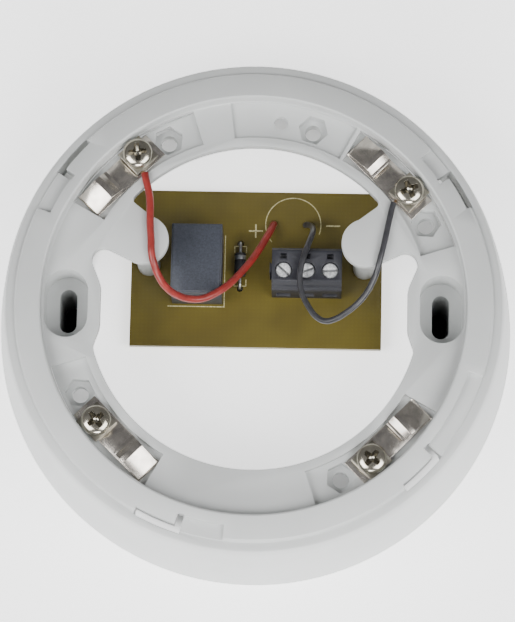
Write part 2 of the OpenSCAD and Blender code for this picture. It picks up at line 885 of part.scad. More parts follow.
module terminal_cage(i) {
    c = terminal_at(i);
    color("#b8bbbf")
        difference() {
            block(c[0], c[1], cage_w, cage_l, cage_low, cage_top);
            block(c[0], c[1], cage_w - 1, cage_l + 1, cage_low + cage_bar, cage_top - 0.8);
            rod(c[0], c[1], cage_top - 1.5, cage_top + 1, clamp_screw_d / 2 + thread_clear);
        }
}

module terminal_screw(i) {
    c = terminal_at(i);
    z = cage_top + 0.2;
    color("#d4d7d9")
        difference() {
            union() {
                rod(c[0], c[1], z, z + clamp_head_h, clamp_head_r);
                rod(c[0], c[1], plate_z + plate_t + 0.15, z + eps, clamp_screw_d / 2);
            }
            translate([c[0], c[1], 0])
                rotate([0, 0, 25 + 50 * i])
                    block(0, 0, 2 * clamp_head_r + 1, 0.5, z + clamp_head_h - 0.7,
                        z + clamp_head_h + 1);
        }
}

/* ---------- leads ---------- */

module red_lead() {
    color("#c0403a")
        tube(red_route, red_d / 2);
}

module black_lead() {
    color("#35353a")
        tube(black_route, black_d / 2);
}

// Bare ends of a lead: one bends down and wraps its contact screw, one passes through the board
module lead_core(route, q, s, exit_z) {
    hole = lead_hole(route);
    low = strip_top + core_gap + core_d / 2;
    wrap = arc([-screw_s, screw_r], core_wrap_r, 185, -50, 14);
    tube(concat(
        [
            spot(q, [s, lead_edge_r - 0.3], exit_z),
            spot(q, [s, core_bend_r - 0.1], exit_z - 0.1),
            spot(q, [s, core_bend_r], exit_z - 0.5),
            spot(q, [s, core_bend_r], low + 0.3),
            spot(q, [s, core_bend_r + 0.2], low),
            spot(q, [lerp(s, wrap[0][0], 0.5), lerp(core_bend_r, wrap[0][1], 0.6)], low)
        ],
        [for (p = wrap) spot(q, p, low)]
    ), core_d / 2);
    rod(hole[0], hole[1], board_under - 0.6, board_z + board_gap + 0.3, core_d / 2);
}

module red_lead_core() {
    color("#c9a27a")
        lead_core(red_route, 1, red_exit_s, red_z);
}

module black_lead_core() {
    color("#c9a27a")
        lead_core(black_route, 0, black_exit_s, black_z);
}

housing();
contact_strip(0);  // contact_strip_1
contact_strip(1);  // contact_strip_2
contact_strip(2);  // contact_strip_3
contact_strip(3);  // contact_strip_4
contact_tongue(0);  // contact_tongue_1
contact_tongue(1);  // contact_tongue_2
contact_tongue(2);  // contact_tongue_3
contact_tongue(3);  // contact_tongue_4
clamp_plate(0);  // clamp_plate_1
clamp_plate(1);  // clamp_plate_2
clamp_plate(2);  // clamp_plate_3
clamp_plate(3);  // clamp_plate_4
lock_washer(0);  // lock_washer_1
lock_washer(1);  // lock_washer_2
lock_washer(2);  // lock_washer_3
lock_washer(3);  // lock_washer_4
contact_screw(0);  // contact_screw_1
contact_screw(1);  // contact_screw_2
contact_screw(2);  // contact_screw_3
contact_screw(3);  // contact_screw_4
contact_nuts();
board();
solder_joints();
board_screws();
relay_base();
relay_case();
relay_bobbin();
relay_coil();
relay_core();
relay_yoke();
relay_armature();
relay_moving_blade();
relay_closed_contact();
relay_open_contact();
relay_pins();
diode_body();
diode_leads();
terminal_block();
terminal_plates();
terminal_cage(0);  // terminal_cage_1
terminal_cage(1);  // terminal_cage_2
terminal_cage(2);  // terminal_cage_3
terminal_screw(0);  // terminal_screw_1
terminal_screw(1);  // terminal_screw_2
terminal_screw(2);  // terminal_screw_3
red_lead();
black_lead();
red_lead_core();
black_lead_core();
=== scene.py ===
"""Looks of a deep fire detector base with its relay board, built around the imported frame."""

import json
import math

import bmesh
import bpy
from mathutils import Matrix, Vector


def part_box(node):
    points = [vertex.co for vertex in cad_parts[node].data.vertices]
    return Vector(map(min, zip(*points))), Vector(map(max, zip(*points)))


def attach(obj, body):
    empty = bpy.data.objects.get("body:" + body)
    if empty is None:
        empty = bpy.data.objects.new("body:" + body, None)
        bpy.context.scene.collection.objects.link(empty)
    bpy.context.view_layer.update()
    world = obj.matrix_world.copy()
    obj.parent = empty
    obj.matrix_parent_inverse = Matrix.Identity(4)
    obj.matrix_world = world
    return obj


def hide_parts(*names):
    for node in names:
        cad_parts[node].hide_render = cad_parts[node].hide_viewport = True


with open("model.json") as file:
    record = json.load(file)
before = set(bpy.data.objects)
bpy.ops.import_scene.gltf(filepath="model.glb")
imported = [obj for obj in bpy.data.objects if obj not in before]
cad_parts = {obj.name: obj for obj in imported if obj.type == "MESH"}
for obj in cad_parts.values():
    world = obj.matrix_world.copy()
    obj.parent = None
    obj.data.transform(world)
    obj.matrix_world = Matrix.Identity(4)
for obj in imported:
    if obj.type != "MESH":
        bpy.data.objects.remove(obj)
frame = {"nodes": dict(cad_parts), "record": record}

bl_info = {
    "name": "Detector Base",
    "version": (1, 0, 0),
    "blender": (4, 5, 0),
    "location": "View3D > Sidebar > Detector Base",
    "description": "Builds the looks of a deep fire detector base around its frame",
    "category": "Object",
}

MM = 0.001
QUARTERS = (45, 135, 225, 315)
CONTACTS = (1, 2, 3, 4)
TERMINALS = (1, 2, 3)


# ---------- settings ----------


class BaseStageSettings(bpy.types.PropertyGroup):
    """Camera and light."""

    elevation: bpy.props.FloatProperty(
        name="Camera elevation", description="Angle of the camera above the rim plane",
        default=math.radians(77.66), min=0.2, max=1.57, subtype="ANGLE")
    azimuth: bpy.props.FloatProperty(
        name="Camera azimuth", description="Angle of the camera to the right of the front",
        default=math.radians(4.94), subtype="ANGLE")
    distance: bpy.props.FloatProperty(
        name="Camera distance", description="From the rim's centre to the camera",
        default=0.762, min=0.3, max=3, unit="LENGTH")
    lens: bpy.props.FloatProperty(
        name="Lens", description="Focal length in millimetres on a 36 mm wide sensor",
        default=241.7, min=50, max=500)
    floor_colour: bpy.props.StringProperty(
        name="Floor colour", description="Colour of the floor as an sRGB hex value",
        default="#ffffff")
    floor_glow: bpy.props.FloatProperty(
        name="Floor glow", description="Light that the floor gives by itself",
        default=1.5, min=0, max=3)


class BaseMouldingSettings(bpy.types.PropertyGroup):
    """Housing and plastics."""

    housing_colour: bpy.props.StringProperty(
        name="Housing colour", description="sRGB hex value", default="#c3c5c4")
    edge_radius: bpy.props.FloatProperty(
        name="Edge radius", description="Rounding of the moulding's edges",
        default=0.25 * MM, min=0.05 * MM, max=0.5 * MM, unit="LENGTH")
    relay_colour: bpy.props.StringProperty(
        name="Relay colour", description="sRGB hex value", default="#3b3e48")
    terminal_colour: bpy.props.StringProperty(
        name="Terminal block colour", description="sRGB hex value", default="#25262d")
    board_colour: bpy.props.StringProperty(
        name="Board colour", description="sRGB hex value", default="#64581f")


class BaseMetalSettings(bpy.types.PropertyGroup):
    """Contacts and fasteners."""

    strip_colour: bpy.props.StringProperty(
        name="Strip colour", description="sRGB hex value", default="#dcd5cb")
    screw_colour: bpy.props.StringProperty(
        name="Screw colour", description="sRGB hex value", default="#cfc9b9")
    thread_pitch: bpy.props.FloatProperty(
        name="Thread pitch", description="Rise of the contact screw's thread in one turn",
        default=0.5 * MM, min=0.3 * MM, max=0.8 * MM, unit="LENGTH")


class BaseLeadSettings(bpy.types.PropertyGroup):
    """Free leads."""

    red_diameter: bpy.props.FloatProperty(
        name="Red lead", description="Outer diameter of the red lead",
        default=1.6 * MM, min=1.2 * MM, max=1.8 * MM, unit="LENGTH")
    black_diameter: bpy.props.FloatProperty(
        name="Black lead", description="Outer diameter of the black lead",
        default=1.3 * MM, min=1.2 * MM, max=1.6 * MM, unit="LENGTH")
    red_colour: bpy.props.StringProperty(
        name="Red", description="sRGB hex value", default="#8c2a25")
    black_colour: bpy.props.StringProperty(
        name="Black", description="sRGB hex value", default="#343437")


GROUPS = {
    "detector_stage": BaseStageSettings,
    "detector_moulding": BaseMouldingSettings,
    "detector_metal": BaseMetalSettings,
    "detector_leads": BaseLeadSettings,
}


def settings(name):
    return getattr(bpy.context.scene, name)


# ---------- colours and nodes ----------


def linear(hex_colour):
    """Linear RGBA of an sRGB hex colour."""
    def one(c):
        return c / 12.92 if c <= 0.04045 else ((c + 0.055) / 1.055) ** 2.4

    value = hex_colour.lstrip("#")
    return tuple(one(int(value[i:i + 2], 16) / 255) for i in (0, 2, 4)) + (1.0,)


def add_node(tree, kind, links=None, **values):
    """A node with its links; a value sets the attribute of its name, or else the socket."""
    node = tree.nodes.new(kind)
    for key, value in values.items():
        if hasattr(node, key):
            setattr(node, key, value)
        else:
            node.inputs[key.replace("_", " ")].default_value = value
    for key, source in (links or {}).items():
        tree.links.new(source, node.inputs[key])
    return node


def new_material(name, colour, roughness, metallic=0.0, **sockets):
    """A material with its shader, and its tree to add detail to."""
    mat = bpy.data.materials.new(name)
    mat.use_nodes = True
    mat.diffuse_color = linear(colour)
    tree = mat.node_tree
    shader = tree.nodes["Principled BSDF"]
    shader.inputs["Base Color"].default_value = linear(colour)
    shader.inputs["Roughness"].default_value = roughness
    shader.inputs["Metallic"].default_value = metallic
    for key, value in sockets.items():
        shader.inputs[key.replace("_", " ")].default_value = value
    return mat, tree, shader


def noise(tree, size_mm, detail=3.0, stretch=(1, 1, 1)):
    """Noise with features of about this size, in object space."""
    coords = add_node(tree, "ShaderNodeTexCoord")
    place = add_node(tree, "ShaderNodeMapping", {"Vector": coords.outputs["Object"]})
    place.inputs["Scale"].default_value = [s / (size_mm * MM) for s in stretch]
    return add_node(tree, "ShaderNodeTexNoise", {"Vector": place.outputs["Vector"]},
                    Scale=1.0, Detail=detail)


def tint(tree, shader, source, low, high, start=0.3, end=0.7):
    """Colour that varies between two hex colours with a texture."""
    ramp = add_node(tree, "ShaderNodeValToRGB", {"Fac": source})
    ramp.color_ramp.elements[0].position = start
    ramp.color_ramp.elements[1].position = end
    ramp.color_ramp.elements[0].color = linear(low)
    ramp.color_ramp.elements[1].color = linear(high)
    tree.links.new(ramp.outputs["Color"], shader.inputs["Base Color"])
    return ramp


def vary_roughness(tree, shader, source, low, high):
    span = add_node(tree, "ShaderNodeMapRange", {"Value": source})
    span.inputs["To Min"].default_value = low
    span.inputs["To Max"].default_value = high
    tree.links.new(span.outputs["Result"], shader.inputs["Roughness"])


def bump(tree, shader, source, depth_mm, strength=1.0):
    node = add_node(tree, "ShaderNodeBump", {"Height": source}, Strength=strength)
    node.inputs["Distance"].default_value = depth_mm * MM
    tree.links.new(node.outputs["Normal"], shader.inputs["Normal"])


def shade(hex_colour, factor):
    """The same colour lighter or darker, as hex."""
    value = hex_colour.lstrip("#")
    parts = [min(255, round(int(value[i:i + 2], 16) * factor)) for i in (0, 2, 4)]
    return "#" + "".join(f"{c:02x}" for c in parts)


# ---------- materials ----------


def moulded_abs(colour):
    """Injection-moulded ABS with a fine spark texture: even, satin, slightly soft in its shadows."""
    mat, tree, shader = new_material("moulded_abs_satin", colour, 0.42, IOR=1.53,
                                     Specular_IOR_Level=0.45)
    cloud = noise(tree, 18, 4)
    tint(tree, shader, cloud.outputs["Fac"], shade(colour, 0.975), shade(colour, 1.015))
    # spark texture about 0.12 mm across, drawn at 0.3 mm so that it shows
    grain = noise(tree, 0.3, 2)
    vary_roughness(tree, shader, grain.outputs["Fac"], 0.36, 0.50)
    bump(tree, shader, grain.outputs["Fac"], 0.008, 0.5)
    return mat


def painted_corner_shade(tree, shader, ramp, dark, reach_mm):
    """Painted shade: the colour darkens in corners and recesses, where other surfaces are close."""
    corner = add_node(tree, "ShaderNodeAmbientOcclusion", samples=8, only_local=True)
    corner.inputs["Distance"].default_value = reach_mm * MM
    mixed = add_node(tree, "ShaderNodeMixRGB", {"Fac": corner.outputs["AO"],
                                               "Color2": ramp.outputs["Color"]})
    mixed.inputs["Color1"].default_value = linear(dark)
    tree.links.new(mixed.outputs["Color"], shader.inputs["Base Color"])


def nickel(name, colour, roughness, streak):
    """Nickel plate over rolled strip: warm grey mirror broken by fine lines along the rolling."""
    mat, tree, shader = new_material(name, colour, roughness, 1.0)
    lines = noise(tree, 0.25, 3, streak)
    smudge = noise(tree, 2.2, 3)
    ramp = tint(tree, shader, smudge.outputs["Fac"], shade(colour, 0.86), shade(colour, 1.06))
    # painted shade in recesses and corners, such as the cross recess and the seams under the washers
    painted_corner_shade(tree, shader, ramp, "#2e2b27", 1.3)
    vary_roughness(tree, shader, lines.outputs["Fac"], roughness * 0.7, roughness * 1.5)
    bump(tree, shader, lines.outputs["Fac"], 0.004, 0.6)
    return mat


def zinc(name, colour):
    """Bright zinc plate: cooler and less sharp than nickel, with a faint crystalline mottle."""
    mat, tree, shader = new_material(name, colour, 0.5, 0.75)
    mottle = noise(tree, 0.5, 4)
    ramp = tint(tree, shader, mottle.outputs["Fac"], shade(colour, 0.82), shade(colour, 1.08))
    # painted shade in the screw's slot and in its corners
    painted_corner_shade(tree, shader, ramp, "#3a3a3c", 0.7)
    vary_roughness(tree, shader, mottle.outputs["Fac"], 0.42, 0.62)
    return mat


def board_laminate(colour):
    """Solder-masked fibre laminate: olive-brown, glassy, with the weave just below the mask."""
    mat, tree, shader = new_material("board_laminate", colour, 0.38, Coat_Weight=0.25,
                                     Coat_Roughness=0.2)
    cloud = noise(tree, 14, 2)
    ramp = tint(tree, shader, cloud.outputs["Fac"], shade(colour, 0.9), shade(colour, 1.12))
    # glass cloth with threads 0.45 mm apart
    coords = add_node(tree, "ShaderNodeTexCoord")
    weave = []
    for axis in ("X", "Y"):
        wave = add_node(tree, "ShaderNodeTexWave", {"Vector": coords.outputs["Object"]},
                        bands_direction=axis, Scale=1 / (0.9 * MM) / 3.2)
        weave.append(wave.outputs["Fac"])
    cloth = add_node(tree, "ShaderNodeMath", {0: weave[0], 1: weave[1]}, operation="MULTIPLY")
    mixed = add_node(tree, "ShaderNodeMixRGB", {"Color1": ramp.outputs["Color"]},
                     blend_type="MULTIPLY")
    mixed.inputs["Fac"].default_value = 0.06
    tree.links.new(cloth.outputs["Value"], mixed.inputs["Color2"])
    tree.links.new(mixed.outputs["Color"], shader.inputs["Base Color"])
    bump(tree, shader, cloth.outputs["Value"], 0.01, 0.3)
    return mat


def moulded_thermoset(name, colour, roughness):
    """Dark glass-filled moulding: dull, with pale fibre specks and a soft edge sheen."""
    mat, tree, shader = new_material(name, colour, roughness, IOR=1.57)
    speck = noise(tree, 0.35, 4)
    tint(tree, shader, speck.outputs["Fac"], shade(colour, 0.88), shade(colour, 1.14))
    vary_roughness(tree, shader, speck.outputs["Fac"], roughness * 0.85, roughness * 1.2)
    bump(tree, shader, speck.outputs["Fac"], 0.01, 0.4)
    return mat


def lead_pvc(name, colour):
    """Extruded PVC insulation: smooth and glossy with faint lengthwise waviness."""
    mat, tree, shader = new_material(name, colour, 0.34, IOR=1.52, Coat_Weight=0.15,
                                     Coat_Roughness=0.25)
    wave = noise(tree, 1.6, 2)
    tint(tree, shader, wave.outputs["Fac"], shade(colour, 0.9), shade(colour, 1.1))
    vary_roughness(tree, shader, wave.outputs["Fac"], 0.28, 0.44)
    return mat


def plated_metal(name, colour, roughness, size_mm=0.6):
    """Plain plated or bare metal with slight tone changes from handling."""
    mat, tree, shader = new_material(name, colour, roughness, 1.0)
    tone = noise(tree, size_mm, 3)
    tint(tree, shader, tone.outputs["Fac"], shade(colour, 0.85), shade(colour, 1.08))
    vary_roughness(tree, shader, tone.outputs["Fac"], roughness * 0.8, roughness * 1.3)
    return mat


def wound_copper(colour):
    """Enamelled copper wire in close turns, 0.12 mm apart along the spool."""
    mat, tree, shader = new_material("wound_enamelled_copper", colour, 0.3, 0.8)
    coords = add_node(tree, "ShaderNodeTexCoord")
    turns = add_node(tree, "ShaderNodeTexWave", {"Vector": coords.outputs["Object"]},
                     bands_direction="Z", Scale=1 / (0.12 * MM) / 3.2)
    tint(tree, shader, turns.outputs["Fac"], shade(colour, 0.6), shade(colour, 1.15))
    bump(tree, shader, turns.outputs["Fac"], 0.03)
    return mat


def legend_ink(colour):
    """Screen-printed legend ink: chalky, a little broken where it is thin."""
    mat, tree, shader = new_material("legend_ink_printed", colour, 0.7)
    thin = noise(tree, 0.35, 3)
    tint(tree, shader, thin.outputs["Fac"], shade(colour, 0.72), colour, 0.35, 0.55)
    return mat


def natural_nylon(colour):
    """Unpigmented moulded nylon: creamy and slightly translucent."""
    mat, tree, shader = new_material("bobbin_nylon", colour, 0.45, IOR=1.53,
                                     Subsurface_Weight=0.2, Subsurface_Scale=0.001)
    tone = noise(tree, 3, 2)
    tint(tree, shader, tone.outputs["Fac"], shade(colour, 0.94), shade(colour, 1.03))
    return mat


def make_materials():
    moulding, metal = settings("detector_moulding"), settings("detector_metal")
    leads = settings("detector_leads")
    return {
        "moulded_abs": moulded_abs(moulding.housing_colour),
        "nickel_strip": nickel("nickel_strip_rolled", metal.strip_colour, 0.2, (1, 1, 0.3)),
        "nickel_clamp": nickel("nickel_clamp_pressed", shade(metal.screw_colour, 0.78), 0.3,
                               (1, 0.3, 1)),
        "nickel_screw": nickel("nickel_screw_bright", metal.screw_colour, 0.16, (1, 1, 1)),
        "nickel_nut": nickel("nickel_nut_turned", shade(metal.screw_colour, 0.9), 0.3, (1, 1, 1)),
        "zinc_screw": zinc("zinc_plated_steel", "#f2f4f6"),
        "board_laminate": board_laminate(moulding.board_colour),
        "solder": plated_metal("solder_reflowed", "#c9cdd2", 0.22, 0.4),
        "tinned_lead": plated_metal("tinned_copper", "#c4c7ca", 0.3),
        "relay_plastic": moulded_thermoset("relay_polyester_moulded", moulding.relay_colour, 0.42),
        "bobbin_nylon": natural_nylon("#e2dcc6"),
        "coil_copper": wound_copper("#a8552c"),
        "soft_iron": plated_metal("soft_iron_plated", "#8f9195", 0.38, 1.2),
        "contact_bronze": plated_metal("phosphor_bronze_strip", "#c48e55", 0.28),
        "diode_epoxy": moulded_thermoset("diode_epoxy_moulded", "#26272a", 0.36),
        "terminal_polyamide": moulded_thermoset("terminal_polyamide_moulded",
                                                moulding.terminal_colour, 0.5),
        "red_pvc": lead_pvc("red_pvc_extruded", leads.red_colour),
        "black_pvc": lead_pvc("black_pvc_extruded", leads.black_colour),
        "bare_copper": plated_metal("bare_copper_strands", "#a88a6c", 0.35, 0.3),
        "legend": legend_ink("#d8cf9c"),
    }


MATERIALS = {}


def material(name):
    if not MATERIALS:
        MATERIALS.update(make_materials())
    return MATERIALS[name]


def slot_of(node):
    rows = frame["record"]["subparts"]
    return next(row["material_slot"] for row in rows if row["node"] == node)


# ---------- mesh helpers ----------


def new_object(name, bm, slot, body, smooth=40):
    """An object from a finished bmesh, with its material, riding on a body."""
    obj = loose_object(name, bm)
    obj.data.materials.append(material(slot))
    finish_piece(obj, body, smooth)
    return obj


def finish_piece(obj, body, smooth=40):
    smooth_by_angle(obj, smooth)
    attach(obj, body)


def smooth_by_angle(obj, degrees):
    mesh = obj.data
    for poly in mesh.polygons:
        poly.use_smooth = True
    bm = bmesh.new()
    bm.from_mesh(mesh)
    limit = math.radians(degrees)
    for edge in bm.edges:
        edge.smooth = edge.calc_face_angle(math.pi) < limit
    bm.to_mesh(mesh)
    bm.free()


def apply_modifiers(obj):
    deps = bpy.context.evaluated_depsgraph_get()
    mesh = bpy.data.meshes.new_from_object(obj.evaluated_get(deps))
    obj.modifiers.clear()
    old = obj.data
    obj.data = mesh
    bpy.data.meshes.remove(old)


def round_edges(obj, width, segments=2, angle=30):
    """Rounds sharp edges and keeps the result."""
    mod = obj.modifiers.new("round", "BEVEL")
    mod.width = width
    mod.segments = segments
    mod.limit_method = "ANGLE"
    mod.angle_limit = math.radians(angle)
    mod.use_clamp_overlap = True
    mod.harden_normals = False
    apply_modifiers(obj)


def cut(obj, cutter):
    """Takes the cutter's shape away from obj, and removes the cutter."""
    mod = obj.modifiers.new("cut", "BOOLEAN")
    mod.operation = "DIFFERENCE"
    mod.solver = "EXACT"
    mod.object = cutter
    bpy.context.view_layer.update()
    apply_modifiers(obj)
    bpy.data.objects.remove(cutter)


def loose_object(name, bm):
    """A helper object, such as a cutter."""
    bmesh.ops.recalc_face_normals(bm, faces=bm.faces)
    mesh = bpy.data.meshes.new(name)
    bm.to_mesh(mesh)
    bm.free()
    obj = bpy.data.objects.new(name, mesh)
    bpy.context.scene.collection.objects.link(obj)
    return obj


def lathe(bm, profile, matrix=None, segments=48):
    """A turned form around Z from (radius, height) points; a zero radius closes an end."""
    matrix = matrix or Matrix.Identity(4)
    rings = []
    for r, z in profile:
        if r < 1e-9:
            rings.append([bm.verts.new(matrix @ Vector((0, 0, z)))])
            continue
        rings.append([bm.verts.new(matrix @ Vector((r * math.cos(a), r * math.sin(a), z)))
                      for a in (math.tau * k / segments for k in range(segments))])
    for low, high in zip(rings, rings[1:]):
        for k in range(segments):
            n = (k + 1) % segments
            if len(low) == 1 and len(high) == 1:
                continue
            if len(low) == 1:
                bm.faces.new((low[0], high[k], high[n]))
            elif len(high) == 1:
                bm.faces.new((low[k], high[0], low[n]))
            else:
                bm.faces.new((low[k], low[n], high[n], high[k]))
    for end in (rings[0], rings[-1]):
        if len(end) > 1:
            bm.faces.new(end)
    return rings


def skin(bm, rings):
    """Faces from each ring of points to the next, and one at either end."""
    count = len(rings[0])
    for one, two in zip(rings, rings[1:]):
        for k in range(count):
            n = (k + 1) % count
            bm.faces.new((one[k], one[n], two[n], two[k]))
    bm.faces.new(rings[0][::-1])
    bm.faces.new(rings[-1])


def box(bm, low, high, matrix=None):
    """A box between two corners."""
    matrix = matrix or Matrix.Identity(4)
    corners = [Vector((x, y, z)) for x in (low[0], high[0]) for y in (low[1], high[1])
               for z in (low[2], high[2])]
    v = [bm.verts.new(matrix @ c) for c in corners]
    for face in ((0, 1, 3, 2), (4, 6, 7, 5), (0, 4, 5, 1), (2, 3, 7, 6), (0, 2, 6, 4),
                 (1, 5, 7, 3)):
        bm.faces.new([v[i] for i in face])


def prism(bm, outline, low, high, matrix=None):
    """An outline of (x, y) points drawn out between two heights."""
    matrix = matrix or Matrix.Identity(4)
    bottom = [bm.verts.new(matrix @ Vector((x, y, low))) for x, y in outline]
    top = [bm.verts.new(matrix @ Vector((x, y, high))) for x, y in outline]
    skin(bm, [bottom, top])


def at_contact(number):
    """Frame of a contact: X clockwise along its strip, Y outward, Z up."""
    return Matrix.Rotation(math.radians(QUARTERS[number - 1] - 90), 4, "Z")


def keep_node(node, slot=None):
    """Gives a carried-over node its material."""
    obj = frame["nodes"][node]
    obj.data.materials.clear()
    obj.data.materials.append(material(slot or slot_of(node)))
    for poly in obj.data.polygons:
        poly.material_index = 0


# ---------- camera, floor and light ----------


# reach of the walls around a fixing slot, and the low and high face of the dark sheet of painted
# shade below it
SLOT_X = 40 * MM
SLOT_HALF_W = 3.3 * MM
SLOT_HALF_L = 6.2 * MM
SLOT_SHADE_LOW = 0.1 * MM
SLOT_SHADE_HIGH = 0.3 * MM

# the ring of floor that does not glow: centre, middle radius and the width of its soft edge
SHADE_Y = 5.4 * MM
SHADE_RADIUS = 44.5 * MM
SHADE_FROM = 5 * MM
SHADE_TO = 8 * MM


class DETECTORBASE_OT_stage(bpy.types.Operator):
    """Sets the camera, the floor and the light"""

    bl_idname = "detectorbase.stage"
    bl_label = "Stage"

    def execute(self, context):
        stage = settings("detector_stage")
        self.camera(stage)
        self.floor(stage)
        self.lights()
        return {"FINISHED"}

    def camera(self, stage):
        data = bpy.data.cameras.new("camera")
        data.sensor_fit = "HORIZONTAL"
        data.sensor_width = 36
        data.lens = stage.lens
        data.clip_start = 0.05
        cam = bpy.data.objects.new("camera", data)
        bpy.context.scene.collection.objects.link(cam)
        level = stage.distance * math.cos(stage.elevation)
        place = Vector((level * math.sin(stage.azimuth), -level * math.cos(stage.azimuth),
                        stage.distance * math.sin(stage.elevation)))
        aim = Vector((0.6, 1.7, 15)) * MM
        back = (place - aim).normalized()
        upward = Vector((-0.017, 0.977, 0.213))
        right = upward.cross(back).normalized()
        turn = Matrix((right, back.cross(right), back)).transposed()
        cam.matrix_world = Matrix.Translation(place) @ turn.to_4x4()
        bpy.context.scene.camera = cam

    def floor(self, stage):
        bm = bmesh.new()
        bmesh.ops.create_grid(bm, x_segments=1, y_segments=1, size=1.5)
        floor = loose_object("floor", bm)
        mat, tree, shader = new_material("floor_paper", stage.floor_colour, 0.85)
        paper = noise(tree, 60, 2)
        tint(tree, shader, paper.outputs["Fac"], shade(stage.floor_colour, 0.995),
             stage.floor_colour)
        shader.inputs["Emission Color"].default_value = linear(stage.floor_colour)
        self.light_table(tree, shader, stage.floor_glow)
        floor.data.materials.append(mat)
        # a dark sheet of painted shade below the fixing slots
        self.felt()

    def light_table(self, tree, shader, strength):
        """A glow from the floor, but none below the housing's rim, whose hollow stays in shade."""
        coords = add_node(tree, "ShaderNodeTexCoord")
        centre = add_node(tree, "ShaderNodeVectorMath", {0: coords.outputs["Object"]},
                          operation="SUBTRACT")
        centre.inputs[1].default_value = (0, SHADE_Y, 0)
        radius = add_node(tree, "ShaderNodeVectorMath", {0: centre.outputs["Vector"]},
                          operation="LENGTH")
        rim = add_node(tree, "ShaderNodeMath", {0: radius.outputs["Value"]}, operation="SUBTRACT")
        rim.inputs[1].default_value = SHADE_RADIUS
        away = add_node(tree, "ShaderNodeMath", {0: rim.outputs["Value"]}, operation="ABSOLUTE")
        glow = add_node(tree, "ShaderNodeMapRange", {"Value": away.outputs["Value"]})
        glow.inputs["From Min"].default_value = SHADE_FROM
        glow.inputs["From Max"].default_value = SHADE_TO
        glow.inputs["To Max"].default_value = strength
        tree.links.new(glow.outputs["Result"], shader.inputs["Emission Strength"])

    def felt(self):
        """A dark sheet of painted shade below the two fixing slots, inside the walls around them."""
        bm = bmesh.new()
        for x in (-SLOT_X, SLOT_X):
            box(bm, (x - SLOT_HALF_W, -SLOT_HALF_L, SLOT_SHADE_LOW),
                (x + SLOT_HALF_W, SLOT_HALF_L, SLOT_SHADE_HIGH))
        felt = loose_object("floor_slot_shade", bm)
        # painted shade: near black, so that the fixing slots look dark as in deep shadow
        mat, tree, shader = new_material("slot_shade_sheet_dark", "#26272a", 0.95)
        fibre = noise(tree, 0.8, 3)
        tint(tree, shader, fibre.outputs["Fac"], "#222326", "#2a2b2e")
        felt.data.materials.append(mat)

    def lights(self):
        world = bpy.context.scene.world or bpy.data.worlds.new("studio")
        bpy.context.scene.world = world
        world.use_nodes = True
        tree = world.node_tree
        # a white tent that is open and dim overhead
        coords = add_node(tree, "ShaderNodeTexCoord")
        split = add_node(tree, "ShaderNodeSeparateXYZ", {"Vector": coords.outputs["Generated"]})
        ramp = add_node(tree, "ShaderNodeValToRGB", {"Fac": split.outputs["Z"]})
        ramp.color_ramp.elements[0].position = 0.35
        ramp.color_ramp.elements[1].position = 0.98
        ramp.color_ramp.elements[0].color = (1, 1, 1, 1)
        ramp.color_ramp.elements[1].color = (0.85, 0.85, 0.88, 1)
        background = tree.nodes["Background"]
        tree.links.new(ramp.outputs["Color"], background.inputs["Color"])
        background.inputs["Strength"].default_value = 0.22
        self.area("left_softbox", (-0.56, -0.33, 0.77), 0.6, 9)
        self.area("right_softbox", (0.52, -0.33, 0.77), 0.6, 8)
        self.area("front_softbox", (0.05, -1.0, 0.4), 0.5, 9)

    def area(self, name, place, size, power):
        data = bpy.data.lights.new(name, "AREA")
        data.size = size
        data.energy = power
        lamp = bpy.data.objects.new(name, data)
        lamp.location = place
        lamp.rotation_euler = (-Vector(place)).to_track_quat("-Z", "Y").to_euler()
        bpy.context.scene.collection.objects.link(lamp)


# ---------- leads ----------

# laid over the arms, past the relay and the terminal block
RED_ROUTE = (
    (-23.7, 27.4, 28.25), (-23, 24.8, 28.4), (-22.6, 22, 28.5), (-22.5, 18, 28.6),
    (-22.2, 14, 28.6), (-22, 11, 28.5), (-21.4, 8.6, 27.8), (-20.4, 6.4, 26),
    (-18.8, 4.6, 23.4), (-16.6, 3.6, 20.8), (-13.8, 3.3, 18.6), (-11, 3.8, 17.4),
    (-8.6, 5.1, 16.6), (-6.2, 7, 15.5), (-4, 9.6, 13.7), (-2, 12.4, 11.9),
    (-0.4, 15, 10.3), (1, 17.6, 8.9), (2.2, 20.2, 7.3), (3.1, 22.4, 5.6),
    (3.5, 23.6, 4.4), (3.6, 24, 3.5),
)
BLACK_ROUTE = (
    (29.1, 21.6, 28.1), (28.6, 19.2, 28.3), (28, 16.2, 28.5), (27.4, 13.2, 28.6),
    (26.8, 10.8, 28.5), (26.2, 8.4, 27.8), (25.2, 6, 26), (23.8, 3.8, 24),
    (21.8, 1.8, 22.1), (19.6, 0.4, 20.3), (17.4, -0.6, 18.7), (15.2, -0.8, 17.5),
    (13.3, 0.3, 16.7), (11.8, 2.3, 16.1), (10.6, 4.6, 15.6), (9.8, 7, 15.3),
    (9.6, 9.4, 15.3), (9.9, 11.8, 15.3), (10.5, 14.4, 15), (11.3, 17, 13.9),
    (12, 19.4, 12), (12.3, 21.2, 9.6), (12.1, 22.6, 7.2), (11.4, 23.5, 5.2),
    (10.8, 23.8, 4.3), (10.6, 23.9, 3.5),
)


def rounded_path(points, radius, steps=6):
    """The same points with an arc at each inner corner."""
    points = [Vector(p) for p in points]
    path = [points[0]]
    for a, b, c in zip(points, points[1:], points[2:]):
        u, v = (a - b).normalized(), (c - b).normalized()
        half = u.angle(v) / 2
        reach = min(radius / math.tan(half), 0.45 * (a - b).length, 0.45 * (c - b).length)
        middle = b + (u + v).normalized() * reach / math.cos(half)
        start, end = b + u * reach - middle, b + v * reach - middle
        path += [middle + start.slerp(end, k / steps).normalized() * start.length
                 for k in range(steps + 1)]
    return path + [points[-1]]


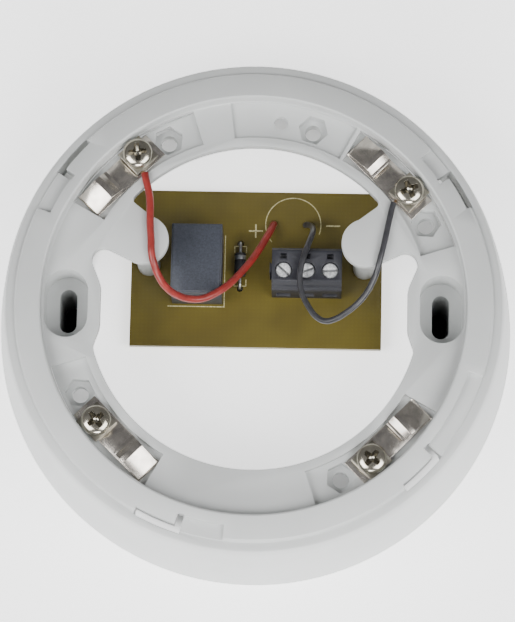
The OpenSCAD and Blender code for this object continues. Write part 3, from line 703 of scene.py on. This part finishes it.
def wire(bm, path, radius, around=16):
    """A round wire along a path, closed at both ends."""
    side = None
    rings = []
    for k, point in enumerate(path):
        along = (path[min(k + 1, len(path) - 1)] - path[max(k - 1, 0)]).normalized()
        if side is None:
            side = along.orthogonal().normalized()
        side = (side - along * side.dot(along)).normalized()
        up = along.cross(side)
        rings.append([bm.verts.new(point + radius * (math.cos(a) * side + math.sin(a) * up))
                      for a in (math.tau * n / around for n in range(around))])
    skin(bm, rings)


# as in the frame: the contact floor, where a lead crosses its trough's edge, and its strands
FLOOR_Z = 27.3 * MM
LEAD_EDGE_R = 37.1 * MM
LEAD_GAP = 0.05 * MM
STRAND_R = 0.3 * MM
WRAP_R = 2.3 * MM
STRAND_BEND_R = 37.5 * MM


class DETECTORBASE_OT_leads(bpy.types.Operator):
    """Lays the red and the black lead from the contact screws to the board"""

    bl_idname = "detectorbase.leads"
    bl_label = "Leads"

    def execute(self, context):
        leads = settings("detector_leads")
        self.lead("red", 2, 3.3 * MM, RED_ROUTE, leads.red_diameter)
        self.lead("black", 1, 4.6 * MM, BLACK_ROUTE, leads.black_diameter)
        return {"FINISHED"}

    def lead(self, colour, number, exit_x, route, diameter):
        turn = at_contact(number)
        start = turn @ Vector((exit_x, LEAD_EDGE_R, FLOOR_Z + diameter / 2 + LEAD_GAP))
        points = [start] + [Vector(p) * MM for p in route]
        curve = bpy.data.curves.new(f"{colour}_lead_insulation", "CURVE")
        curve.dimensions = "3D"
        curve.bevel_depth = diameter / 2
        curve.bevel_resolution = 6
        curve.resolution_u = 6
        curve.use_fill_caps = True
        line = curve.splines.new("BEZIER")
        line.bezier_points.add(len(points) - 1)
        for knot, place in zip(line.bezier_points, points):
            knot.co = place
            knot.handle_left_type = knot.handle_right_type = "AUTO"
        obj = bpy.data.objects.new(f"{colour}_lead_insulation", curve)
        bpy.context.scene.collection.objects.link(obj)
        curve.materials.append(material(f"{colour}_pvc"))
        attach(obj, "base")
        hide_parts(f"{colour}_lead")
        self.conductor(colour, number, exit_x, start.z, points[-1])

    def conductor(self, colour, number, exit_x, exit_z, hole):
        """The bare strands: wrapped clockwise under the clamp plate, and through the board."""
        turn = at_contact(number)
        low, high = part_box(f"contact_screw_{number}")
        screw = turn.inverted() @ ((low + high) / 2)
        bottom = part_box(f"contact_strip_{number}")[0].z + STRIP_T + STRAND_R + 0.02 * MM
        wrap = [Vector((screw.x + WRAP_R * math.cos(a), screw.y + WRAP_R * math.sin(a), bottom))
                for a in (math.radians(d) for d in range(185, -51, -10))]
        corners = [Vector((exit_x, STRAND_BEND_R - 0.7 * MM, exit_z)),
                   Vector((exit_x, STRAND_BEND_R, exit_z)),
                   Vector((exit_x, STRAND_BEND_R, bottom)), wrap[0]]
        path = rounded_path(corners, 0.4 * MM) + wrap[1:]
        bm = bmesh.new()
        wire(bm, [turn @ p for p in path], STRAND_R, 12)
        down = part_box(f"{colour}_lead_core")[0].z
        wire(bm, [hole + Vector((0, 0, STRAND_R)), Vector((hole.x, hole.y, down))], STRAND_R, 12)
        obj = new_object(f"{colour}_lead_strands", bm, "bare_copper", "base", 60)
        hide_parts(f"{colour}_lead_core")


# ---------- refined copies ----------


def refined(node, radius, segments=2, angle=30, smooth=35, name=None):
    """A copy of a node with its flat faces whole, its edges rounded and its curves smooth."""
    bm = bmesh.new()
    bm.from_mesh(frame["nodes"][node].data)
    bmesh.ops.remove_doubles(bm, verts=bm.verts, dist=0.002 * MM)
    bmesh.ops.dissolve_limit(bm, angle_limit=math.radians(1), verts=bm.verts, edges=bm.edges)
    obj = loose_object(name or f"{node}_finished", bm)
    obj.data.materials.append(material(slot_of(node)))
    if radius:
        round_edges(obj, radius, segments, angle)
    finish_piece(obj, body_named(node), smooth)
    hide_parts(node)
    return obj


def body_named(node):
    bodies = frame["record"]["behaviour"]["bodies"]
    return next(body for body, nodes in bodies.items() if node in nodes)


def islands(node):
    """The separate parts of a node, each as its lowest and highest corner."""
    bm = bmesh.new()
    bm.from_mesh(frame["nodes"][node].data)
    bmesh.ops.remove_doubles(bm, verts=bm.verts, dist=0.002 * MM)
    seen, parts = set(), []
    for start in bm.verts:
        if start in seen:
            continue
        seen.add(start)
        stack, points = [start], []
        while stack:
            vert = stack.pop()
            points.append(vert.co.copy())
            for edge in vert.link_edges:
                other = edge.other_vert(vert)
                if other not in seen:
                    seen.add(other)
                    stack.append(other)
        parts.append((Vector(map(min, zip(*points))), Vector(map(max, zip(*points)))))
    bm.free()
    return parts


class DETECTORBASE_OT_housing(bpy.types.Operator):
    """Rounds the edges of the moulded housing"""

    bl_idname = "detectorbase.housing"
    bl_label = "Housing"

    def execute(self, context):
        obj = refined("housing", settings("detector_moulding").edge_radius, 2, 28, 32)
        if len(obj.data.polygons) < 1000:
            raise RuntimeError("the housing lost its faces")
        return {"FINISHED"}


# ---------- contacts ----------


def sheet_strip(bm, path, width, thickness, matrix):
    """A strip of sheet metal bent along a path in the XZ plane, centred on it."""
    rings = []
    for k, point in enumerate(path):
        along = path[min(k + 1, len(path) - 1)] - path[max(k - 1, 0)]
        square = Vector((-along.z, 0, along.x)).normalized() * thickness / 2
        reach = Vector((0, width / 2, 0))
        rings.append([bm.verts.new(matrix @ (point + corner)) for corner in (
            square + reach, square - reach, -square - reach, -square + reach)])
    skin(bm, rings)


STRIP_T = 0.5 * MM
TONGUE_T = 0.35 * MM
BORE_R = 1.75 * MM


class DETECTORBASE_OT_contacts(bpy.types.Operator):
    """Bends the contact strips and their spring tongues"""

    bl_idname = "detectorbase.contacts"
    bl_label = "Contact strips"

    def execute(self, context):
        for number in CONTACTS:
            self.strip(number)
            self.tongue(number)
        return {"FINISHED"}

    def local_box(self, node, number):
        """A node's box in its contact's own frame, in metres."""
        turn = at_contact(number).inverted()
        points = [turn @ v.co for v in frame["nodes"][node].data.vertices]
        return Vector(map(min, zip(*points))), Vector(map(max, zip(*points)))

    def strip(self, number):
        node = f"contact_strip_{number}"
        low, high = self.local_box(node, number)
        bend = 0.4 * MM
        middle = low.z + STRIP_T / 2
        centre = Vector((low.x + 0.45 * MM, 0, middle + bend))
        path = [Vector((high.x, 0, middle)), Vector((0, 0, middle))]
        path += [centre + bend * Vector((math.cos(a), 0, math.sin(a)))
                 for a in (math.radians(d) for d in range(270, 149, -15))]
        across = Matrix.Translation((0, (low.y + high.y) / 2, 0))
        bm = bmesh.new()
        sheet_strip(bm, path, high.y - low.y, STRIP_T, at_contact(number) @ across)
        obj = new_object(f"contact_strip_{number}_bent", bm, "nickel_strip", "base")
        low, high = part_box(f"contact_screw_{number}")
        spot = (low + high) / 2
        bm = bmesh.new()
        lathe(bm, [(BORE_R, low.z), (BORE_R, high.z)],
              Matrix.Translation((spot.x, spot.y, 0)), 32)
        cut(obj, loose_object("bore", bm))
        round_edges(obj, 0.06 * MM, 2, 50)
        smooth_by_angle(obj, 35)
        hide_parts(node)

    def tongue(self, number):
        node = f"contact_tongue_{number}"
        low, high = self.local_box(node, number)
        half = TONGUE_T / 2
        fold = Vector((low.x + 0.45 * MM, 0, low.z - 0.25 * MM))
        top = high.z - half
        crest = low.x + 5.2 * MM
        path = [fold + 0.4 * MM * Vector((math.cos(a), 0, math.sin(a)))
                for a in (math.radians(d) for d in (144, 132, 120))]
        corners = [path[-1], (crest - 0.55 * MM, 0, top), (crest + 0.55 * MM, 0, top),
                   (high.x - 0.75 * MM, 0, top - 0.85 * MM), (high.x, 0, top - 0.9 * MM)]
        path = path[:-1] + rounded_path(corners, 0.55 * MM)
        across = Matrix.Translation((0, (low.y + high.y) / 2, 0))
        bm = bmesh.new()
        sheet_strip(bm, path, high.y - low.y, TONGUE_T, at_contact(number) @ across)
        obj = new_object(f"contact_tongue_{number}_bent", bm, "nickel_strip",
                         f"contact_{number}_tongue")
        round_edges(obj, 0.05 * MM, 2, 50)
        smooth_by_angle(obj, 35)
        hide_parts(node)


class DETECTORBASE_OT_contact_screws(bpy.types.Operator):
    """Makes the contact screws, their lock washers and their clamp plates"""

    bl_idname = "detectorbase.contact_screws"
    bl_label = "Contact screws"

    def execute(self, context):
        pitch = settings("detector_metal").thread_pitch
        for number, angle in zip(CONTACTS, (24, 8, 38, 52)):
            self.screw(number, pitch, angle)
            self.washer(number, angle)
            refined(f"clamp_plate_{number}", 0.14 * MM)
        refined("contact_nuts", 0.12 * MM)
        return {"FINISHED"}

    def screw(self, number, pitch, angle):
        low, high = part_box(f"contact_screw_{number}")
        centre = (low + high) / 2
        radius = (high.x - low.x) / 2
        head_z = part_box(f"lock_washer_{number}")[1].z
        height = high.z - head_z
        place = Matrix.Translation((centre.x, centre.y, 0))
        rim = radius - 0.12 * MM
        dome = [(radius * math.cos(a) ** 0.7, head_z + height * (0.42 + 0.58 * math.sin(a)))
                for a in (math.radians(d) for d in range(5, 90, 9))]
        bm = bmesh.new()
        lathe(bm, [(0, head_z), (rim, head_z), (radius, head_z + 0.14 * MM),
                   (radius, head_z + 0.38 * height)] + dome + [(0, high.z)], place, 64)
        obj = new_object(f"contact_screw_{number}_head", bm, "nickel_screw",
                         f"contact_{number}_screw")
        cut(obj, self.recess(place @ Matrix.Rotation(math.radians(angle), 4, "Z"), high.z))
        round_edges(obj, 0.06 * MM, 2, 45)
        smooth_by_angle(obj, 42)
        bm = bmesh.new()
        self.thread(bm, place, 1.5 * MM, low.z, head_z, pitch)
        shank = new_object(f"contact_screw_{number}_thread", bm, "nickel_screw",
                           f"contact_{number}_screw", 50)
        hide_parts(f"contact_screw_{number}")
        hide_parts(f"contact_screw_{number}")

    def recess(self, place, top):
        """The cross recess: four wings that narrow towards a point."""
        bm = bmesh.new()
        rings = []
        for z, reach, half in ((top + 0.3 * MM, 2.1 * MM, 0.5 * MM),
                               (top - 0.2 * MM, 1.9 * MM, 0.46 * MM),
                               (top - 1.35 * MM, 0.8 * MM, 0.3 * MM),
                               (top - 1.7 * MM, 0.35 * MM, 0.24 * MM)):
            quarter = [(reach, -half), (reach, half), (half * 1.35, half * 1.35)]
            outline = [(x * math.cos(t) - y * math.sin(t), x * math.sin(t) + y * math.cos(t))
                       for t in (math.pi / 2 * q for q in range(4)) for x, y in quarter]
            rings.append([bm.verts.new(place @ Vector((x, y, z))) for x, y in outline])
        for high, low in zip(rings, rings[1:]):
            for k in range(12):
                n = (k + 1) % 12
                bm.faces.new((high[k], high[n], low[n], low[k]))
        bm.faces.new(rings[0])
        bm.faces.new(rings[-1][::-1])
        return loose_object("recess", bm)

    def thread(self, bm, place, radius, low, high, pitch):
        """A threaded shank: its surface waves in and out along a helix."""
        around, steps = 24, 6
        depth = 0.3 * MM
        rows = int((high - low) / pitch * steps)
        rings = []
        for row in range(rows + 1):
            z = low + (high - low) * row / rows
            ring = []
            for k in range(around):
                turn = (z - low) / pitch - k / around
                wave = abs((turn % 1) * 2 - 1)
                end = min(1, row / steps)
                r = (radius - depth * wave) * (0.8 + 0.2 * end)
                a = math.tau * k / around
                ring.append(bm.verts.new(place @ Vector((r * math.cos(a), r * math.sin(a), z))))
            rings.append(ring)
        skin(bm, rings)

    def washer(self, number, angle):
        """A split spring washer: a square wire ring whose two ends stand apart."""
        low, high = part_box(f"lock_washer_{number}")
        centre = (low + high) / 2
        outer, inner = (high.x - low.x) / 2, 1.8 * MM
        rise = 0.12 * MM
        bm = bmesh.new()
        rings = []
        for k in range(49):
            share = k / 48
            a = math.radians(angle + 184 + 352 * share)
            z0, z1 = low.z + rise * share, high.z - rise * (1 - share)
            rings.append([bm.verts.new((centre.x + r * math.cos(a), centre.y + r * math.sin(a), z))
                          for r, z in ((inner, z0), (outer, z0), (outer, z1), (inner, z1))])
        skin(bm, rings)
        obj = new_object(f"lock_washer_{number}_split", bm, "nickel_clamp",
                         f"contact_{number}_clamp")
        round_edges(obj, 0.06 * MM, 2, 50)
        smooth_by_angle(obj, 40)
        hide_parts(f"lock_washer_{number}")


# ---------- board ----------


# printed marks, as (x, y) on the board
RING_MARK_CENTRE = (7.9, 23.9)
RING_MARK_RADIUS = 6.2 * MM
PLUS_PLACE = (-0.35, 22.4)
MINUS_PLACE = (16.7, 23.8)


class DETECTORBASE_OT_board(bpy.types.Operator):
    """Finishes the board: its edges, legend, tracks, solder and screws"""

    bl_idname = "detectorbase.board"
    bl_label = "Board"

    def execute(self, context):
        refined("board", 0.08 * MM, 1)
        self.legend()
        self.tracks()
        self.solder()
        refined("board_screws", 0.1 * MM)
        return {"FINISHED"}

    def legend(self):
        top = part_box("board")[1].z
        film = 0.02 * MM
        line = 0.2 * MM
        bm = bmesh.new()
        centre, radius = Vector(RING_MARK_CENTRE) * MM, RING_MARK_RADIUS
        outer = [centre + radius * Vector((math.cos(a), math.sin(a)))
                 for a in (math.radians(d) for d in range(-20, 222, 4))]
        inner = [centre + (p - centre) * (1 - line / radius) for p in outer]
        for k in range(len(outer) - 1):
            prism(bm, [outer[k], outer[k + 1], inner[k + 1], inner[k]], top, top + film)
        plus, minus = Vector(PLUS_PLACE) * MM, Vector(MINUS_PLACE) * MM
        arm, bar = 1.55 * MM, 0.17 * MM
        marks = [(plus.x - arm, plus.y - bar, plus.x + arm, plus.y + bar),
                 (plus.x - bar, plus.y - arm, plus.x + bar, plus.y - bar),
                 (plus.x - bar, plus.y + bar, plus.x + bar, plus.y + arm),
                 (minus.x - arm, minus.y - bar, minus.x + arm, minus.y + bar)]
        low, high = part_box("relay_case")
        right, bottom = high.x + 0.5 * MM, low.y - 0.6 * MM
        marks += [(low.x - 1 * MM, bottom, right, bottom + line),
                  (right - line, bottom + line, right, high.y + 0.3 * MM)]
        low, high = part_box("diode_body")
        for edge, way in ((high.y + 0.4 * MM, 1), (low.y - 0.4 * MM, -1)):
            far = edge + way * 1.6 * MM
            for x in (low.x - 0.1 * MM, high.x + 0.1 * MM - line):
                marks.append((x, min(edge, far), x + line, max(edge, far)))
            marks.append((low.x - 0.1 * MM, far - line * (way > 0), high.x + 0.1 * MM,
                          far + line * (way < 0)))
        for x0, y0, x1, y1 in marks:
            box(bm, (x0, y0, top), (x1, y1, top + film))
        new_object("board_legend", bm, "legend", "base", 20)

    def tracks(self):
        """Copper tracks under the mask on the back, from pad to pad."""
        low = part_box("board")[0].z
        pads = sorted(((p[0] + p[1]) / 2 for p in islands("solder_joints")), key=lambda p: p.x)
        film = 0.035 * MM
        half = 0.6 * MM
        bm = bmesh.new()
        for a, b in zip(pads[::2], pads[1::2]):
            start, end = Vector((a.x, a.y)), Vector((b.x, b.y))
            bend = Vector((b.x, a.y)) if abs(a.y - b.y) < abs(a.x - b.x) else Vector((a.x, b.y))
            for p, q in ((start, bend), (bend, end)):
                if (q - p).length < 1.5 * MM:
                    continue
                across = Vector((q.y - p.y, p.x - q.x)).normalized() * half
                prism(bm, [p + across, q + across, q - across, p - across], low - film, low)
        new_object("board_tracks", bm, "board_laminate", "base", 20)

    def solder(self):
        bm = bmesh.new()
        for low, high in islands("solder_joints"):
            centre = (low + high) / 2
            wide = (high.x - low.x) / 2
            tall = high.z - low.z
            profile = [(wide, high.z)]
            profile += [(wide * (0.42 + 0.58 * (1 - t) ** 2.2), high.z - tall * t)
                        for t in (0.12, 0.3, 0.5, 0.7, 0.88)]
            profile += [(wide * 0.3, low.z), (0, low.z - 0.02 * MM)]
            lathe(bm, profile, Matrix.Translation((centre.x, centre.y, 0)), 20)
        obj = new_object("solder_joints_reflowed", bm, "solder", "base", 60)
        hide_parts("solder_joints")


# ---------- relay and diode ----------


class DETECTORBASE_OT_relay(bpy.types.Operator):
    """Finishes the relay"""

    bl_idname = "detectorbase.relay"
    bl_label = "Relay"

    def execute(self, context):
        obj = refined("relay_case", 0.22 * MM, 3)
        low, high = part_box("relay_case")
        place = Matrix.Translation((high.x - 1.7 * MM, low.y + 1.8 * MM, 0))
        bm = bmesh.new()
        lathe(bm, [(0, high.z - 0.12 * MM), (0.55 * MM, high.z - 0.12 * MM),
                   (0.62 * MM, high.z + 0.2 * MM), (0, high.z + 0.2 * MM)], place, 32)
        cut(obj, loose_object("vent", bm))
        smooth_by_angle(obj, 35)
        for node in ("relay_base", "relay_yoke", "relay_armature"):
            refined(node, 0.08 * MM)
        return {"FINISHED"}


class DETECTORBASE_OT_diode(bpy.types.Operator):
    """Makes the diode with its band and its bent leads"""

    bl_idname = "detectorbase.diode"
    bl_label = "Diode"

    def execute(self, context):
        low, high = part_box("diode_body")
        centre = (low + high) / 2
        radius = (high.x - low.x) / 2
        half = (high.y - low.y) / 2
        lying = Matrix.Translation(centre) @ Matrix.Rotation(-math.pi / 2, 4, "X")
        corner = 0.4 * MM
        profile = [(0, -half), (0.45 * MM, -half)]
        profile += [(radius - corner + corner * math.cos(a), -half + corner + corner * math.sin(a))
                    for a in (math.radians(d) for d in range(-90, 1, 15))]
        profile += [(radius - 0.06 * MM, 0)]
        profile += [(r, -z) for r, z in reversed(profile[:-1])]
        bm = bmesh.new()
        lathe(bm, profile, lying, 40)
        body = new_object("diode_body_moulded", bm, "diode_epoxy", "base", 50)
        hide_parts("diode_body")
        bm = bmesh.new()
        band = radius + 0.015 * MM
        lathe(bm, [(radius * 0.9, half - 1.6 * MM), (band - 0.02 * MM, half - 1.6 * MM),
                   (band, half - 1.5 * MM), (band, half - 0.75 * MM),
                   (band - 0.02 * MM, half - 0.65 * MM), (radius * 0.9, half - 0.65 * MM)],
              lying, 40)
        new_object("diode_band", bm, "tinned_lead", "base", 50)
        self.leads(centre, half)
        return {"FINISHED"}

    def leads(self, centre, half):
        low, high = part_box("diode_leads")
        bm = bmesh.new()
        for way in (-1, 1):
            end = high.y if way > 0 else low.y
            inset = 0.35 * MM
            corners = [(centre.x, centre.y + way * (half - 0.2 * MM), centre.z),
                       (centre.x, end - way * inset, centre.z),
                       (centre.x, end - way * inset, low.z)]
            wire(bm, rounded_path(corners, 0.9 * MM), inset)
        obj = new_object("diode_leads_bent", bm, "tinned_lead", "base", 60)
        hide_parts("diode_leads")


# ---------- terminal block ----------


class DETECTORBASE_OT_terminals(bpy.types.Operator):
    """Finishes the terminal block and makes its slotted screws"""

    bl_idname = "detectorbase.terminals"
    bl_label = "Terminal block"

    def execute(self, context):
        refined("terminal_block", 0.16 * MM, 2, 35)
        self.dovetail()
        for number, angle in zip(TERMINALS, (-42, 20, 4)):
            self.screw(number, angle)
            refined(f"terminal_cage_{number}", 0.1 * MM)
        return {"FINISHED"}

    def dovetail(self):
        """The ridge on the side that would lock into a neighbouring block."""
        low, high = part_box("terminal_block")
        y = (low.y + high.y) / 2 + 0.2 * MM
        outline = [(low.x + 0.05 * MM, y - 0.8 * MM), (low.x + 0.05 * MM, y + 0.8 * MM),
                   (low.x - 0.5 * MM, y + 1.2 * MM), (low.x - 0.5 * MM, y - 1.2 * MM)]
        bm = bmesh.new()
        prism(bm, outline, low.z + 1.5 * MM, high.z - 1.2 * MM)
        obj = new_object("terminal_dovetail", bm, "terminal_polyamide", "base")
        round_edges(obj, 0.1 * MM)

    def screw(self, number, angle):
        low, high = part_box(f"terminal_screw_{number}")
        centre = (low + high) / 2
        radius = (high.x - low.x) / 2
        neck = high.z - 1.5 * MM
        place = Matrix.Translation((centre.x, centre.y, 0))
        profile = [(0, low.z), (1.0 * MM, low.z), (1.24 * MM, low.z + 0.25 * MM),
                   (1.24 * MM, neck), (radius - 0.1 * MM, neck), (radius, neck + 0.1 * MM),
                   (radius, high.z - 0.25 * MM), (radius - 0.22 * MM, high.z - 0.05 * MM),
                   (0, high.z)]
        bm = bmesh.new()
        lathe(bm, profile, place, 48)
        obj = new_object(f"terminal_screw_{number}_slotted", bm, "zinc_screw",
                         f"terminal_{number}_screw")
        bm = bmesh.new()
        box(bm, (-3 * MM, -0.25 * MM, high.z - 0.7 * MM), (3 * MM, 0.25 * MM, high.z + 1 * MM),
            place @ Matrix.Rotation(math.radians(angle), 4, "Z"))
        cut(obj, loose_object("slot", bm))
        round_edges(obj, 0.05 * MM, 2, 45)
        smooth_by_angle(obj, 40)
        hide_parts(f"terminal_screw_{number}")


# ---------- everything left ----------


class DETECTORBASE_OT_carried(bpy.types.Operator):
    """Gives every carried-over node its material"""

    bl_idname = "detectorbase.carried"
    bl_label = "Carried-over pieces"

    def execute(self, context):
        for node in frame["nodes"]:
            keep_node(node)
        return {"FINISHED"}


class DETECTORBASE_PT_panel(bpy.types.Panel):
    """Lists the operators and their settings"""

    bl_idname = "DETECTORBASE_PT_panel"
    bl_label = "Detector Base"
    bl_space_type = "VIEW_3D"
    bl_region_type = "UI"
    bl_category = "Detector Base"

    def draw(self, context):
        for name in GROUPS:
            group = getattr(context.scene, name)
            column = self.layout.box().column()
            for key in group.__annotations__:
                column.prop(group, key)
        for operator in OPERATORS:
            self.layout.operator(operator.bl_idname)


OPERATORS = (
    DETECTORBASE_OT_stage,
    DETECTORBASE_OT_leads,
    DETECTORBASE_OT_housing,
    DETECTORBASE_OT_contacts,
    DETECTORBASE_OT_contact_screws,
    DETECTORBASE_OT_board,
    DETECTORBASE_OT_relay,
    DETECTORBASE_OT_diode,
    DETECTORBASE_OT_terminals,
    DETECTORBASE_OT_carried,
)


def register():
    for group in GROUPS.values():
        bpy.utils.register_class(group)
    for name, group in GROUPS.items():
        setattr(bpy.types.Scene, name, bpy.props.PointerProperty(type=group))
    for operator in OPERATORS:
        bpy.utils.register_class(operator)
    bpy.utils.register_class(DETECTORBASE_PT_panel)


def unregister():
    bpy.utils.unregister_class(DETECTORBASE_PT_panel)
    for operator in reversed(OPERATORS):
        bpy.utils.unregister_class(operator)
    for name, group in GROUPS.items():
        delattr(bpy.types.Scene, name)
        bpy.utils.unregister_class(group)


def main():
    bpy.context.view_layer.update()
    register()
    for operator in OPERATORS:
        group, name = operator.bl_idname.split(".")
        getattr(getattr(bpy.ops, group), name)()


if __name__ == "__main__":
    main()
